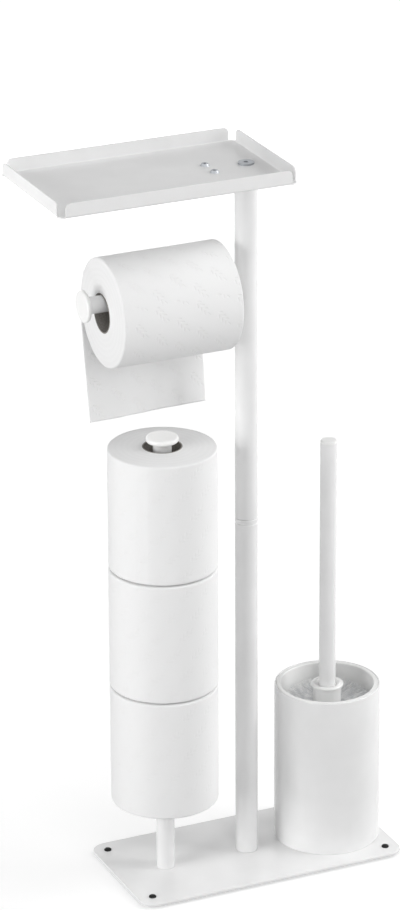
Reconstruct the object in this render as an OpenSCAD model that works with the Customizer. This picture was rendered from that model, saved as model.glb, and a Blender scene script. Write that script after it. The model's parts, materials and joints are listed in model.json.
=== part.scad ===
// Free-standing toilet roll holder: base plate, pole with a tray on top, an arm for the roll
// in use, a post for three stored rolls, and a cup with its brush.
// Millimetres. The origin lies on the floor, under the middle of the whole object.
// X runs along the base plate towards the cup, Y runs to the back and Z points up.

/* [Base plate] */
// Length of the base plate, left to right
base_l = 256; // [240:1:320]
// Depth of the base plate, front to back
base_w = 130; // [120:1:180]
// Thickness of the steel base plate
base_t = 3; // [2:0.5:5]
// Corner radius of the base plate
base_r = 15; // [6:1:20]

/* [Rubber feet] */
// Distance from a short edge of the plate to the centre of a foot
foot_inset_x = 13; // [11:1:20]
// Distance from a long edge of the plate to the centre of a foot
foot_inset_y = 15; // [11:1:20]
// Diameter of the pad that stands on the floor
foot_d = 16; // [12:1:20]
// Height of the pad under the plate
foot_h = 2.5; // [2.2:0.1:6]
// Diameter of the stem that is pushed through the plate
foot_stem_d = 4.8; // [3:0.1:5.5]
// Diameter of the small head that shows on top of the plate
foot_head_d = 6.4; // [5.8:0.1:9]
// Height of that head
foot_head_h = 1.2; // [0.8:0.1:2]

/* [Tubes and fastenings] */
// Diameter of the main pole
pole_d = 20; // [18:0.5:25]
// Diameter of the post for the stored rolls
post_d = 16.5; // [13:0.5:22]
// Diameter of the arm that carries the roll in use
arm_d = 15; // [12:0.5:20]
// Wall of the steel tubes
tube_wall = 1.2; // [0.8:0.1:1.6]
// Height of the ring that shows between the two halves of the pole
ring_h = 4.5; // [2:0.5:8]
// Length of the coupler's spigot inside each half of the pole
spigot_l = 30; // [15:1:60]
// Length of the threaded plugs at the ends of the tubes
plug_l = 18; // [16:1:30]
// Diameter of the bolts
bolt_d = 6; // [5:0.5:8]
// Length of the bolts under their heads
bolt_l = 14; // [12:0.5:15]
// Diameter of the flat bolt heads
bolt_head_d = 14; // [12:0.5:18]
// Thickness of the flat bolt heads
bolt_head_h = 1.6; // [1.2:0.1:2]

/* [Paper rolls] */
// Width of a roll
roll_w = 112; // [95:0.5:116]
// Diameter of a full roll
roll_d = 96.5; // [80:0.5:110]
// Bore of the cardboard core
core_d = 33; // [31:0.5:45]
// Wall of the cardboard core
core_wall = 1; // [0.6:0.1:2]
// Round on the edges of the paper, drawn as a chamfer
roll_edge = 1; // [0.3:0.1:2]

/* [Storage post] */
// Free space between the pole and the stored rolls
pole_gap = 21.75; // [12:0.25:40]
// Height of the stop disc's face above the base plate
stop_h = 69; // [30:0.5:120]
// Diameter of the stop disc
stop_d = 50; // [40:1:80]
// Thickness of the stop disc
stop_t = 2.5; // [1.5:0.5:5]
// Height of the end cap above the top stored roll
cap_rise = 5.1; // [2:0.1:15]

/* [End caps] */
// Diameter of the discs that close the arm and the post
cap_d = 28.5; // [24:0.5:30]
// Thickness of those discs
cap_t = 4; // [3:0.5:8]
// Length of a cap's stem inside its tube
cap_stem_l = 12; // [8:1:25]

/* [Arm] */
// Free space between the pole and the roll on the arm
arm_play_in = 13; // [8:0.5:30]
// Free space between the roll on the arm and the end cap
arm_play_out = 14.5; // [8:0.5:30]

/* [Hanging sheet] */
// Length of the sheet that hangs free behind the roll
tail_l = 104; // [60:1:150]
// Thickness of the sheet
tail_t = 0.4; // [0.3:0.1:1]
// Angle at which the sheet leans in below the roll
tail_lean = 9; // [0:1:15]
// Angle of roll that the loose sheet still wraps above its widest point
tail_wrap = 5; // [5:1:80]
// Free space between the sheet's lower edge and the stored rolls
tail_clear = 20.2; // [16:0.1:60]

/* [Tray] */
// Length of the tray
tray_l = 218; // [160:1:260]
// Depth of the tray
tray_w = 130; // [90:0.5:160]
// Height of the tray's upturned edges, from the underside
flange_h = 13.2; // [8:0.1:30]
// Thickness of the tray's sheet
tray_t = 1.5; // [1:0.1:2]
// Outer radius of the bends
bend_r = 2.5; // [2.2:0.1:5]
// Gap from a corner of the tray to the end of an upturned edge
notch = 6; // [5:0.5:12]
// Radius on the top corners of the upturned edges
flange_r = 5; // [2:0.5:6]
// Reach of the tray past the pole's axis, on the side of the cup
tray_over = 19; // [16:0.5:60]
// Free space between the roll on the arm and the tray
tray_clear = 64.8; // [30:0.2:120]

/* [Tray bracket] */
// Length of the flat bracket that the pole carries
bracket_l = 62; // [50:1:90]
// Width of the bracket
bracket_w = 36; // [28:1:60]
// Thickness of the bracket
bracket_t = 3; // [2:0.5:4]
// Diameter of the two small tray screws
screw_d = 4; // [3:0.5:5]
// Distance of the tray screws from the pole's axis
screw_back = 34; // [24:1:42]
// Spacing of the two tray screws
screw_gap = 20; // [14:1:24]

/* [Cup] */
// Free space between the pole and the cup
cup_gap = 22.5; // [12:0.5:40]
// Outer diameter of the cup
cup_d = 95; // [85:1:104]
// Height of the cup
cup_h = 150; // [120:1:200]
// Wall of the steel shell
shell_wall = 1.5; // [1:0.1:2.5]
// Width of the liner's rim
rim_w = 3.9; // [3:0.1:6]
// Height of the liner's rim
rim_h = 3.5; // [2:0.5:8]
// Wall of the plastic liner
liner_wall = 2; // [1.5:0.1:2.8]
// Height of the liner's floor over the shell's floor, clear of the bolt
liner_lift = 14; // [13.5:0.5:25]

/* [Brush] */
// Diameter of the handle
handle_d = 15; // [12:0.5:18]
// Wall of the handle tube
handle_wall = 1; // [0.8:0.1:1.6]
// Length of the handle that shows above the collar
handle_l = 235; // [150:1:300]
// Depth of the handle inside the collar
handle_seat = 10; // [8:1:12]
// Height of the plug that closes the handle
handle_plug_h = 2.5; // [1:0.5:8]
// Diameter of the collar's lip
collar_d = 29.2; // [26:0.2:36]
// Height of the collar's lip
collar_lip_h = 3; // [2:0.5:6]
// Diameter of the collar's neck
neck_d = 25; // [21:0.5:28]
// Length of the neck under the lip
neck_l = 15; // [13:1:30]
// Diameter of the open mouth round the handle
mouth_d = 21; // [19:0.5:24]
// Depth of the collar's lip below the cup's rim
lip_drop = 0.2; // [0:0.2:12]
// Diameter of the stud that joins the handle to the head
stud_d = 8; // [5:0.5:9]
// Length of that stud on each side of the handle's foot
stud_l = 16; // [10:1:20]

/* [Bristles] */
// Diameter of the backing that holds the bristles
backing_d = 18; // [16:0.5:20]
// Diameter of the plastic core inside the backing
brush_core_d = 12; // [11:0.5:14]
// Free space between the bristle tips and the liner
bristle_clear = 3.8; // [2:0.2:10]
// Rows of bristles, one above the other
bristle_rows = 20; // [17:1:26]
// Bristles in a row
row_count = 18; // [17:1:24]
// Width of a bristle at its root
bristle_w = 1.6; // [1:0.1:1.8]
// Width of a bristle at its tip
bristle_tip_w = 1; // [0.6:0.1:1.4]
// Angle at which the lowest bristles point down
low_slant = 36; // [10:1:45]
// Angle at which the highest bristles point up
high_slant = 10; // [0:1:15]

/* [Clearances] */
// Clearance between parts that move past each other or rest on each other
run_gap = 0.3; // [0.3:0.05:0.6]
// Radial clearance of fitted plugs, stems and threads
fit_gap = 0.05; // [0.02:0.01:0.1]
// Radial clearance of the holes for bolts and stems
hole_gap = 0.2; // [0.1:0.05:0.4]

/* [Hidden] */
$fn = 96;

// Levels of the base
plate_z = foot_h;
deck_z = plate_z + base_t;

// The pole stands in the middle of the base plate
pole_x = (tray_l - tray_over - base_l / 2) / 2;
base_hole_d = bolt_d + 2 * hole_gap;

// Stored rolls and their post
post_x = pole_x - (pole_d / 2 + pole_gap + roll_d / 2);
stop_z = deck_z + stop_h;
roll_pitch = roll_w + run_gap;
stack_top = stop_z + 3 * roll_pitch;
post_top = stack_top + cap_rise;
hub_d = post_d + 8;
hub_h = 8;

// Roll on the arm: its core hangs on the arm, so its axis is lower than the arm's
tail_r = roll_d / 2 + run_gap;
tail_bottom = stack_top + tail_clear;
arm_roll_z = tail_bottom + tail_l * cos(tail_lean) + tail_r * sin(tail_lean);
arm_z = arm_roll_z + core_d / 2 - run_gap - arm_d / 2;
arm_roll_x = pole_x - (pole_d / 2 + arm_play_in + roll_w);
arm_tip_x = arm_roll_x - arm_play_out;
arm_nut_d = 11;
arm_stud_in = 3;

// Tray and pole
tray_z = arm_roll_z + roll_d / 2 + tray_clear;
pole_top = tray_z - bracket_t;
half_pole_l = (pole_top - deck_z - ring_h) / 2;
ring_z = deck_z + half_pole_l;
tray_x = pole_x + tray_over - tray_l;
bracket_x = pole_x + tray_over - bend_r - bracket_l;
bracket_r = 4;

// Cup, liner and brush
cup_x = pole_x + pole_d / 2 + cup_gap + cup_d / 2;
cup_top = deck_z + cup_h;
shell_floor = deck_z + shell_wall;
liner_rim_r = cup_d / 2 - shell_wall - run_gap;
liner_r = liner_rim_r - rim_w;
liner_floor = shell_floor + liner_lift;
lip_z = cup_top - lip_drop;
neck_top = lip_z - collar_lip_h;
socket_z = neck_top - neck_l;
handle_z = neck_top - handle_seat;
handle_top = lip_z + handle_l;
brush_tip = liner_floor + run_gap;
backing_r = backing_d / 2;
backing_z = brush_tip + backing_r + 3;
backing_h = socket_z - backing_z - 2 * fit_gap;

// Bolts and nuts
key_d = bolt_d * 0.75;
nut_corner_d = bolt_d * 1.92;
nut_h = bolt_d * 0.8;
bore_in = tube_wall + fit_gap;

// Bristles: a sleeve of slanting cells with one bristle on each
row_h = backing_h / bristle_rows;
sector = 360 / row_count;
sleeve_r = (brush_core_d / 2 + fit_gap) / cos(sector / 2);
bristle_r = liner_r - bristle_clear;
bristle_low = liner_floor + 1.5;
root_angle = asin(bristle_w / backing_d);

// Length by which cuts pass the face they open
over = 1;

white = [0.93, 0.93, 0.93];
plastic = [0.96, 0.96, 0.95];
steel = [0.72, 0.73, 0.75];
paper = [0.97, 0.97, 0.96];
card = [0.80, 0.74, 0.64];
black = [0.08, 0.08, 0.08];

// Flat plate with round corners, centred on X and Y
module rounded_sheet(l, w, t, r) {
    linear_extrude(t)
        rounded_rect(l, w, r);
}

module rounded_rect(l, w, r) {
    square([l - 2 * r, w], center = true);
    square([l, w - 2 * r], center = true);
    for (sx = [-1, 1], sy = [-1, 1])
        translate([sx * (l / 2 - r), sy * (w / 2 - r)])
            circle(r);
}

module tube(d, wall, h) {
    difference() {
        cylinder(d = d, h = h);
        translate([0, 0, -over])
            cylinder(d = d - 2 * wall, h = h + 2 * over);
    }
}

// Ring with an outer chamfer on both edges
module ring_solid(r_in, r_out, h, edge) {
    rotate_extrude()
        polygon([
            [r_in, 0], [r_out - edge, 0], [r_out, edge], [r_out, h - edge],
            [r_out - edge, h], [r_in, h]
        ]);
}

// Threaded plug that closes the end of a tube, with its bolt hole from below
module threaded_plug(tube_d, wall, l, hole_d) {
    difference() {
        cylinder(d = tube_d - 2 * (wall + fit_gap), h = l);
        translate([0, 0, -over])
            cylinder(d = hole_d + 2 * fit_gap, h = l + 2 * over);
    }
}

// Flat-headed bolt, its head under z = 0 and its shank up
module flat_bolt() {
    cylinder(d = bolt_d, h = bolt_l);
    translate([0, 0, -bolt_head_h])
        difference() {
            cylinder(d = bolt_head_d, h = bolt_head_h);
            translate([0, 0, -over])
                cylinder(d = key_d, h = over + bolt_head_h * 0.6, $fn = 6);
        }
}

// Disc with a chamfered edge and a stem that is pushed into the tube's end
module end_cap(tube_d, wall) {
    edge = cap_t * 0.25;
    rotate_extrude()
        polygon([
            [0, 0], [cap_d / 2 - edge, 0], [cap_d / 2, edge],
            [cap_d / 2, cap_t - edge], [cap_d / 2 - edge, cap_t], [0, cap_t]
        ]);
    translate([0, 0, -cap_stem_l])
        cylinder(d = tube_d - 2 * (wall + fit_gap), h = cap_stem_l + over);
}

module paper_roll() {
    ring_solid(core_d / 2 + core_wall + fit_gap, roll_d / 2, roll_w, roll_edge);
}

module cardboard_core() {
    tube(core_d + 2 * core_wall, core_wall, roll_w);
}

module at_pole(z) {
    translate([pole_x, 0, z])
        children();
}

module at_post(z) {
    translate([post_x, 0, z])
        children();
}

module at_cup(z) {
    translate([cup_x, 0, z])
        children();
}

module at_feet() {
    span_x = base_l / 2 - foot_inset_x;
    span_y = base_w / 2 - foot_inset_y;
    for (sx = [-1, 1], sy = [-1, 1])
        translate([pole_x + sx * span_x, sy * span_y, 0])
            children();
}

// Places a stored roll, counted from 0 at the bottom
module at_spare(i) {
    at_post(stop_z + run_gap + i * roll_pitch)
        children();
}

module at_arm_roll() {
    translate([arm_roll_x, 0, arm_roll_z])
        rotate([0, 90, 0])
            children();
}

module base_plate() {
    color(white)
        difference() {
            at_pole(plate_z)
                rounded_sheet(base_l, base_w, base_t, base_r);
            for (x = [pole_x, post_x, cup_x])
                translate([x, 0, 0])
                    cylinder(d = base_hole_d, h = deck_z + over);
            at_feet()
                cylinder(d = foot_stem_d + 2 * hole_gap, h = deck_z + over);
        }
}

module rubber_feet() {
    color(black)
        at_feet()
            rotate_extrude()
                polygon([
                    [0, 0], [foot_d / 2 - 0.8, 0], [foot_d / 2, 0.8], [foot_d / 2, foot_h],
                    [foot_stem_d / 2, foot_h], [foot_stem_d / 2, deck_z],
                    [foot_head_d / 2, deck_z], [foot_head_d / 2, deck_z + foot_head_h * 0.4],
                    [foot_head_d / 4, deck_z + foot_head_h], [0, deck_z + foot_head_h]
                ]);
}

module lower_pole() {
    color(white)
        at_pole(deck_z)
            tube(pole_d, tube_wall, half_pole_l);
}

// The arm's stud passes through one wall of this tube
module upper_pole() {
    color(white)
        difference() {
            at_pole(ring_z + ring_h)
                tube(pole_d, tube_wall, half_pole_l);
            at_pole(arm_z)
                rotate([0, -90, 0])
                    cylinder(d = base_hole_d, h = pole_d);
        }
}

module pole_coupler() {
    inner_d = pole_d - 2 * bore_in;
    color(white)
        at_pole(ring_z) {
            cylinder(d = pole_d, h = ring_h);
            translate([0, 0, -spigot_l])
                cylinder(d = inner_d, h = ring_h + 2 * spigot_l);
        }
}

module pole_foot_plug() {
    color(steel)
        at_pole(deck_z)
            threaded_plug(pole_d, tube_wall, plug_l, bolt_d);
}

module pole_top_plug() {
    color(steel)
        at_pole(pole_top - plug_l)
            threaded_plug(pole_d, tube_wall, plug_l, bolt_d);
}

module frame_bolts() {
    color(steel) {
        for (x = [pole_x, post_x, cup_x])
            translate([x, 0, plate_z])
                flat_bolt();
        at_pole(tray_z + tray_t)
            mirror([0, 0, 1])
                flat_bolt();
    }
}

module storage_post() {
    color(white)
        at_post(deck_z)
            tube(post_d, tube_wall, post_top - deck_z);
}

module post_foot_plug() {
    color(steel)
        at_post(deck_z)
            threaded_plug(post_d, tube_wall, plug_l, bolt_d);
}

module post_end_cap() {
    color(plastic)
        at_post(post_top)
            end_cap(post_d, tube_wall);
}

module roll_stop_disc() {
    color(white)
        at_post(stop_z - stop_t)
            difference() {
                union() {
                    cylinder(d = stop_d, h = stop_t);
                    translate([0, 0, -hub_h])
                        cylinder(d = hub_d, h = hub_h + over);
                }
                translate([0, 0, -hub_h - over])
                    cylinder(d = post_d + 2 * fit_gap, h = hub_h + stop_t + 2 * over);
            }
}

// Cuts the end of the arm to the round of the pole
module pole_cope() {
    at_pole(arm_z - arm_d)
        cylinder(d = pole_d + 2 * fit_gap, h = 2 * arm_d);
}

module roll_arm() {
    color(white)
        difference() {
            translate([arm_tip_x, 0, arm_z])
                rotate([0, 90, 0])
                    tube(arm_d, tube_wall, pole_x - arm_tip_x);
            pole_cope();
        }
}

module arm_plug() {
    reach = pole_d / 2 + plug_l;
    color(steel)
        difference() {
            translate([pole_x - reach, 0, arm_z])
                rotate([0, 90, 0])
                    threaded_plug(arm_d, tube_wall, reach, bolt_d);
            pole_cope();
        }
}

// Round nut inside the pole, curved to lie against the tube's wall
module arm_nut() {
    color(steel)
        difference() {
            intersection() {
                at_pole(arm_z)
                    rotate([0, -90, 0])
                        cylinder(d = arm_nut_d, h = pole_d / 2);
                at_pole(arm_z - arm_nut_d)
                    cylinder(d = pole_d - 2 * bore_in, h = 2 * arm_nut_d);
                translate([pole_x - pole_d / 2, -arm_nut_d, arm_z - arm_nut_d])
                    cube([pole_d / 2 - arm_stud_in + over, 2 * arm_nut_d, 2 * arm_nut_d]);
            }
            at_pole(arm_z)
                rotate([0, -90, 0])
                    cylinder(d = bolt_d + 2 * fit_gap, h = pole_d);
        }
}

// Threaded rod that pulls the arm against the pole
module arm_stud() {
    color(steel)
        translate([pole_x - arm_stud_in, 0, arm_z])
            rotate([0, -90, 0])
                cylinder(d = bolt_d, h = pole_d / 2 - arm_stud_in + plug_l * 0.7);
}

module arm_end_cap() {
    color(plastic)
        translate([arm_tip_x, 0, arm_z])
            rotate([0, -90, 0])
                end_cap(arm_d, tube_wall);
}

// Section of an upturned edge: X runs inwards from its outer face and Y runs up
module flange_section() {
    translate([bend_r, 0])
        square([bend_r, tray_t]);
    translate([0, bend_r])
        square([tray_t, flange_h - bend_r]);
    intersection() {
        translate([bend_r, bend_r])
            difference() {
                circle(bend_r);
                circle(bend_r - tray_t);
            }
        square(bend_r);
    }
}

// Upturned edge along +X from the origin, its outer face on y = 0
module flange(l) {
    intersection() {
        rotate([90, 0, 90])
            linear_extrude(l)
                flange_section();
        translate([0, 3 * bend_r, 0])
            rotate([90, 0, 0])
                linear_extrude(4 * bend_r) {
                    translate([0, -1])
                        square([l, flange_h - flange_r + 1]);
                    translate([flange_r, 0])
                        square([l - 2 * flange_r, flange_h]);
                    for (x = [flange_r, l - flange_r])
                        translate([x, flange_h - flange_r])
                            circle(flange_r);
                }
    }
}

// One folded sheet: a floor with round corners and four upturned edges
module tray() {
    edge_x = tray_l - 2 * notch;
    edge_y = tray_w - 2 * notch;
    color(white)
        translate([tray_x + tray_l / 2, 0, tray_z])
            difference() {
                union() {
                    difference() {
                        rounded_sheet(tray_l, tray_w, tray_t, notch);
                        for (s = [-1, 1]) {
                            translate([-edge_x / 2, s * tray_w / 2 - bend_r, -over])
                                cube([edge_x, 2 * bend_r, tray_t + 2 * over]);
                            translate([s * tray_l / 2 - bend_r, -edge_y / 2, -over])
                                cube([2 * bend_r, edge_y, tray_t + 2 * over]);
                        }
                    }
                    for (a = [0, 180])
                        rotate([0, 0, a])
                            translate([-edge_x / 2, -tray_w / 2, 0])
                                flange(edge_x);
                    for (a = [90, 270])
                        rotate([0, 0, a])
                            translate([-edge_y / 2, -tray_l / 2, 0])
                                flange(edge_y);
                }
                translate([-(tray_x + tray_l / 2), 0, -over]) {
                    at_pole(0)
                        cylinder(d = base_hole_d, h = tray_t + 2 * over);
                    at_tray_screws()
                        cylinder(d = screw_d + 2 * hole_gap, h = tray_t + 2 * over);
                }
            }
}

module at_tray_screws() {
    for (s = [-1, 1])
        translate([pole_x - screw_back, s * screw_gap / 2, 0])
            children();
}

module tray_bracket() {
    color(white)
        difference() {
            translate([bracket_x + bracket_l / 2, 0, pole_top])
                rounded_sheet(bracket_l, bracket_w, bracket_t, bracket_r);
            translate([0, 0, pole_top - over]) {
                at_pole(0)
                    cylinder(d = base_hole_d, h = bracket_t + 2 * over);
                at_tray_screws()
                    cylinder(d = screw_d + 2 * fit_gap, h = bracket_t + 2 * over);
            }
        }
}

module tray_screws() {
    head_h = screw_d * 0.5;
    color(steel)
        at_tray_screws()
            translate([0, 0, pole_top]) {
                cylinder(d = screw_d, h = bracket_t + tray_t);
                translate([0, 0, bracket_t + tray_t])
                    difference() {
                        cylinder(d1 = screw_d * 2, d2 = screw_d * 1.4, h = head_h);
                        translate([0, 0, head_h * 0.4])
                            cylinder(d = screw_d * 0.7, h = head_h, $fn = 6);
                    }
            }
}

module cup_shell() {
    r = cup_d / 2;
    edge = shell_wall * 0.6;
    color(white)
        at_cup(deck_z)
            difference() {
                rotate_extrude()
                    polygon([
                        [0, 0], [r - edge, 0], [r, edge], [r, cup_h], [r - shell_wall, cup_h],
                        [r - shell_wall, shell_wall], [0, shell_wall]
                    ]);
                translate([0, 0, -over])
                    cylinder(d = base_hole_d, h = shell_wall + 2 * over);
            }
}

module cup_nut() {
    color(steel)
        at_cup(shell_floor)
            difference() {
                cylinder(d = nut_corner_d, h = nut_h, $fn = 6);
                translate([0, 0, -over])
                    cylinder(d = bolt_d + 2 * fit_gap, h = nut_h + 2 * over);
            }
}

// The liner stands on the shell's floor and its rim fills the shell's mouth
module cup_liner() {
    wall_r = liner_r + liner_wall;
    top = cup_top - shell_floor;
    color(plastic)
        at_cup(shell_floor)
            rotate_extrude()
                polygon([
                    [0, liner_lift - liner_wall], [liner_r, liner_lift - liner_wall],
                    [liner_r, 0], [wall_r, 0], [wall_r, top - rim_h - (liner_rim_r - wall_r)],
                    [liner_rim_r, top - rim_h], [liner_rim_r, top - 0.6],
                    [liner_rim_r - 0.6, top], [liner_r + 1, top], [liner_r, top - 1],
                    [liner_r, liner_lift + 2], [liner_r - 2, liner_lift], [0, liner_lift]
                ]);
}

module brush_handle() {
    color(white)
        at_cup(handle_z)
            tube(handle_d, handle_wall, handle_top - handle_plug_h - handle_z);
}

module handle_top_plug() {
    r = handle_d / 2;
    stem_l = 10;
    color(plastic)
        at_cup(handle_top - handle_plug_h) {
            rotate_extrude()
                polygon([
                    [0, 0], [r, 0], [r, handle_plug_h * 0.4], [r * 0.85, handle_plug_h * 0.85],
                    [r * 0.5, handle_plug_h], [0, handle_plug_h]
                ]);
            translate([0, 0, -stem_l])
                cylinder(r = r - handle_wall - fit_gap, h = stem_l + over);
        }
}

module handle_foot_plug() {
    color(steel)
        at_cup(handle_z)
            threaded_plug(handle_d, handle_wall, stud_l + 2, stud_d);
}

module handle_stud() {
    color(steel)
        at_cup(handle_z - stud_l)
            cylinder(d = stud_d, h = 2 * stud_l);
}

// Plastic core with a round tip below and the collar that takes the handle above
module brush_head() {
    core_r = brush_core_d / 2;
    tip_z = brush_tip + backing_r;
    color(plastic)
        difference() {
            union() {
                intersection() {
                    at_cup(tip_z)
                        sphere(r = backing_r);
                    at_cup(tip_z - 2 * backing_r)
                        cylinder(r = 2 * backing_r, h = 2 * backing_r + over);
                }
                at_cup(tip_z)
                    cylinder(r = backing_r, h = backing_z - tip_z);
                at_cup(backing_z - over)
                    cylinder(r = core_r, h = backing_h + 3 * over);
                at_cup(socket_z)
                    cylinder(d = neck_d, h = neck_l + over);
                at_cup(neck_top)
                    ring_solid(0, collar_d / 2, collar_lip_h, collar_lip_h * 0.3);
            }
            at_cup(handle_z - stud_l)
                cylinder(d = stud_d + 2 * fit_gap, h = stud_l + over);
            at_cup(handle_z)
                cylinder(d = handle_d + 2 * fit_gap, h = lip_z - handle_z + over);
            at_cup(neck_top)
                cylinder(d1 = handle_d, d2 = mouth_d, h = collar_lip_h);
        }
}

// A corner of the sleeve between row k - 1 and row k. Each row is turned by half a cell.
function sleeve_point(k, i) =
    let (a = sector * (i + k / 2))
    [backing_r * cos(a), backing_r * sin(a), k * row_h];

// The sleeve's bore, at its foot for end = 0 and at its top for end = 1
function bore_point(end, i) =
    let (a = sector * (i + end * (bristle_rows % 2) / 2))
    [sleeve_r * cos(a), sleeve_r * sin(a), end * backing_h];

// The lowest bristles point down, the highest point up, and none turns back over another
function slant(k) =
    let (t = k / (bristle_rows - 1))
    high_slant * pow(t, 4) - low_slant * pow(1 - t, 3);

function bristle_l(k, i) =
    let (e = slant(k))
    let (side = (bristle_r - backing_r) / cos(e))
    let (down = (backing_z + (k + 0.5) * row_h - bristle_low) / max(sin(-e), 0.01))
    min(side, down) - 0.7 - 0.7 * sin(61 * k + 83 * i);

// Four corners of a bristle's root, from lower left to upper left
function root_points(k, i) =
    let (a = sector * (i + k / 2 + 0.75))
    let (z = (k + 0.5) * row_h)
    [
        for (c = [[-1, -1], [1, -1], [1, 1], [-1, 1]])
            let (b = a + c[0] * root_angle)
            [backing_r * cos(b), backing_r * sin(b), z + c[1] * bristle_w / 2]
    ];

// The same four corners at its tip
function tip_points(k, i) =
    let (a = sector * (i + k / 2 + 0.75) + 2 * sin(97 * k + 151 * i))
    let (e = slant(k))
    let (l = bristle_l(k, i))
    [
        for (c = [[-1, -1], [1, -1], [1, 1], [-1, 1]])
            let (s = c[0] * bristle_tip_w / 2)
            let (u = c[1] * bristle_tip_w / 2)
            let (r = backing_r + l * cos(e) - u * sin(e))
            [
                r * cos(a) - s * sin(a),
                r * sin(a) + s * cos(a),
                (k + 0.5) * row_h + l * sin(e) + u * cos(e)
            ]
    ];

// Two triangles between the edge a-b of one loop and the edge c-d of the next
function band(a, b, c, d) = [[a, c, b], [a, d, c]];

// All bristles in one solid with the sleeve that they grow from
module brush_bristles() {
    n = row_count;
    m = bristle_rows;
    bore = (m + 1) * n;
    first = bore + 2 * n;
    points = concat(
        [for (k = [0 : m], i = [0 : n - 1]) sleeve_point(k, i)],
        [for (end = [0, 1], i = [0 : n - 1]) bore_point(end, i)],
        [for (k = [0 : m - 1], i = [0 : n - 1]) each concat(root_points(k, i), tip_points(k, i))]
    );
    cells = [
        for (k = [0 : m - 1], i = [0 : n - 1])
            let (j = (i + 1) % n)
            let (cell = [k * n + i, k * n + j, (k + 1) * n + j, (k + 1) * n + i])
            let (s = first + 8 * (k * n + i))
            each concat(
                [for (c = [0 : 3]) each band(cell[c], cell[(c + 1) % 4], s + (c + 1) % 4, s + c)],
                [for (c = [0 : 3]) each band(s + c, s + (c + 1) % 4, s + 4 + (c + 1) % 4, s + 4 + c)],
                [[s + 4, s + 6, s + 5], [s + 4, s + 7, s + 6]]
            )
    ];
    ends = [
        for (i = [0 : n - 1])
            let (j = (i + 1) % n)
            let (p = bore + n + (i + floor(m / 2)) % n)
            let (q = bore + n + (j + floor(m / 2)) % n)
            each concat(
                band(j, i, bore + i, bore + j),
                band(bore + j, bore + i, bore + n + i, bore + n + j),
                band(m * n + i, m * n + j, q, p)
            )
    ];
    color([0.82, 0.83, 0.84])
        at_cup(backing_z + fit_gap)
            polyhedron(points, concat(cells, ends));
}

module lower_spare_paper() {
    color(paper)
        at_spare(0)
            paper_roll();
}

module lower_spare_core() {
    color(card)
        at_spare(0)
            cardboard_core();
}

module middle_spare_paper() {
    color(paper)
        at_spare(1)
            paper_roll();
}

module middle_spare_core() {
    color(card)
        at_spare(1)
            cardboard_core();
}

module upper_spare_paper() {
    color(paper)
        at_spare(2)
            paper_roll();
}

module upper_spare_core() {
    color(card)
        at_spare(2)
            cardboard_core();
}

module arm_roll_paper() {
    color(paper)
        at_arm_roll()
            paper_roll();
}

module arm_roll_core() {
    color(card)
        at_arm_roll()
            cardboard_core();
}

// Loose sheet: it follows the back of the roll and then hangs down, leaning in a little
module hanging_sheet() {
    outer = tail_r + tail_t;
    far = 2 * outer;
    color(paper)
        translate([arm_roll_x, 0, arm_roll_z])
            rotate([90, 0, 90])
                linear_extrude(roll_w) {
                    intersection() {
                        difference() {
                            circle(outer);
                            circle(tail_r);
                        }
                        polygon([
                            [0, 0], [far * cos(tail_lean), -far * sin(tail_lean)],
                            [far, 0], [far * cos(tail_wrap), far * sin(tail_wrap)]
                        ]);
                    }
                    rotate(-tail_lean)
                        translate([tail_r, -tail_l])
                            square([tail_t, tail_l]);
                }
}

base_plate();
rubber_feet();
lower_pole();
upper_pole();
pole_coupler();
pole_foot_plug();
pole_top_plug();
frame_bolts();
storage_post();
post_foot_plug();
post_end_cap();
roll_stop_disc();
roll_arm();
arm_plug();
arm_nut();
arm_stud();
arm_end_cap();
tray();
tray_bracket();
tray_screws();
cup_shell();
cup_nut();
cup_liner();
brush_handle();
handle_top_plug();
handle_foot_plug();
handle_stud();
brush_head();
brush_bristles();
lower_spare_paper();
lower_spare_core();
middle_spare_paper();
middle_spare_core();
upper_spare_paper();
upper_spare_core();
arm_roll_paper();
arm_roll_core();
hanging_sheet();
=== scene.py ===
"""Free-standing toilet roll holder with a tray, a roll arm, stored rolls and a brush in its cup."""

import json
import logging
import math
from dataclasses import dataclass
from enum import Enum
from typing import Callable, Iterable, Optional, Sequence

import bmesh
import bpy
from mathutils import Matrix, Vector, noise


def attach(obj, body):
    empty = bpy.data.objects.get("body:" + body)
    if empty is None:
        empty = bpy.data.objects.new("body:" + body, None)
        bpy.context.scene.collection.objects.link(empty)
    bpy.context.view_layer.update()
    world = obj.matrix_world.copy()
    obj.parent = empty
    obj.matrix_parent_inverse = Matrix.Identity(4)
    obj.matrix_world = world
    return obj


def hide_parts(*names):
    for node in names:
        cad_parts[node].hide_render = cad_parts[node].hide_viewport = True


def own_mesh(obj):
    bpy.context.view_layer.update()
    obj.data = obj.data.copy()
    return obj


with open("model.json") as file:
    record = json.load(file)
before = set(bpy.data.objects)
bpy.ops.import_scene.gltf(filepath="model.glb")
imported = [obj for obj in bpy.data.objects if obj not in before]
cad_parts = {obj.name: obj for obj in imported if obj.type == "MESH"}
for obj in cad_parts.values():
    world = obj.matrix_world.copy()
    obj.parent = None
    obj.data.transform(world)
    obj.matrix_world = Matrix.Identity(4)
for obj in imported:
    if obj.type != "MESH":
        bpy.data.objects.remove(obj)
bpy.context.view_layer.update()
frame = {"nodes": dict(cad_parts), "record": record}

# Lengths are in mm, and MM turns them to metres. DECK is the top of the base plate, FIT the play of
# a plug in its bore, and WAVE_PHASE the radians that a wave texture runs through in one unit.
MM = 0.001
DECK = 5.5
POST_X = -44.5
POLE_X = 35.5
CUP_X = 115.5
ROLL_WIDTH = 112.0
ROLL_GAP = 0.3
ROLL_IN_USE_LEFT = -99.5
ROLL_IN_USE_HEIGHT = 541.9
FIT = 0.05
ROUND_STEPS = 96
WIDE_ROUND_STEPS = 128
SHARP_ANGLE = 32
SMOOTH_ANGLE = 38
CORNER_STRIPS = 14
RIM_REACH = 0.5
GOLDEN_TURN = 2.39996
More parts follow.
